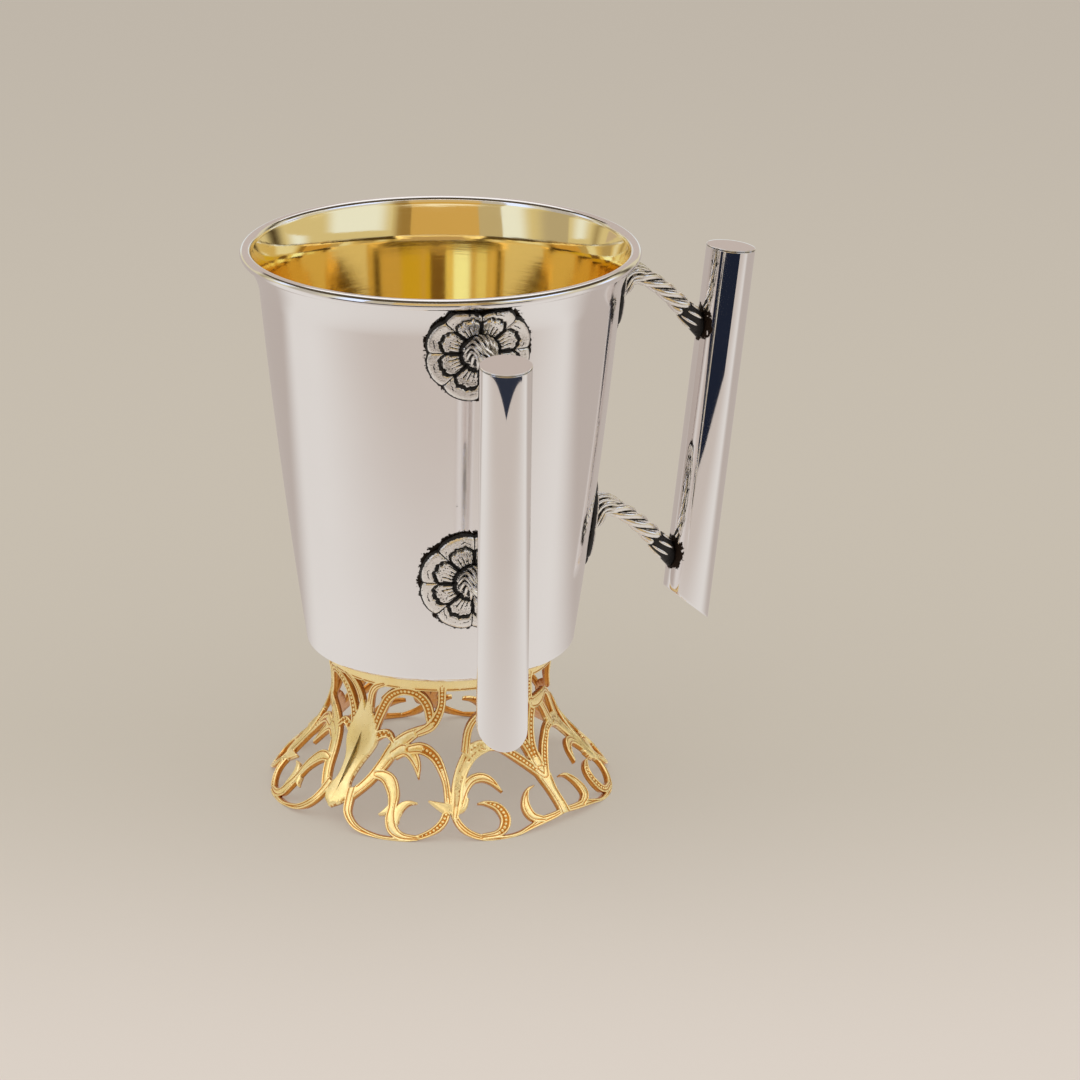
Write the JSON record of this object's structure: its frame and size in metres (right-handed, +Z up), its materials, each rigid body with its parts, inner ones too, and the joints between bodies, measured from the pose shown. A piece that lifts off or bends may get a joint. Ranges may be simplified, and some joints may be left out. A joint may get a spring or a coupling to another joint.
{
  "type": "washing cup",
  "caption": "Tapering silver washing cup with twisted arms and round grips for both hands, rosettes where they join, gilt inside, on a flared gilt openwork foot of scrolls.",
  "frame": {"origin": "centre of the bounding box at floor level, where the foot's lowest points rest", "axes": "+Z up along the bowl's axis; the handles stand 49.35 degrees either side of +X, the front handle towards -Y and the side handle towards +Y"},
  "size_m": [0.1078, 0.133, 0.142],
  "materials": {
    "polished_silver": "softly polished silver with a faint warm tone",
    "oxidised_silver": "silver, bright on its high points and black oxidised in its hollows",
    "gilt": "bright gilding with orange-brown in its hollows"
  },
  "bodies": {
    "root": {"bowl": "polished_silver", "openwork_foot": "gilt", "front_handle_upper_rosette": "oxidised_silver", "front_handle_upper_arm": "oxidised_silver", "front_handle_lower_rosette": "oxidised_silver", "front_handle_lower_arm": "oxidised_silver", "front_handle_grip": "polished_silver", "side_handle_upper_rosette": "oxidised_silver", "side_handle_upper_arm": "oxidised_silver", "side_handle_lower_rosette": "oxidised_silver", "side_handle_lower_arm": "oxidised_silver", "side_handle_grip": "polished_silver"}
  },
  "joints": []
}
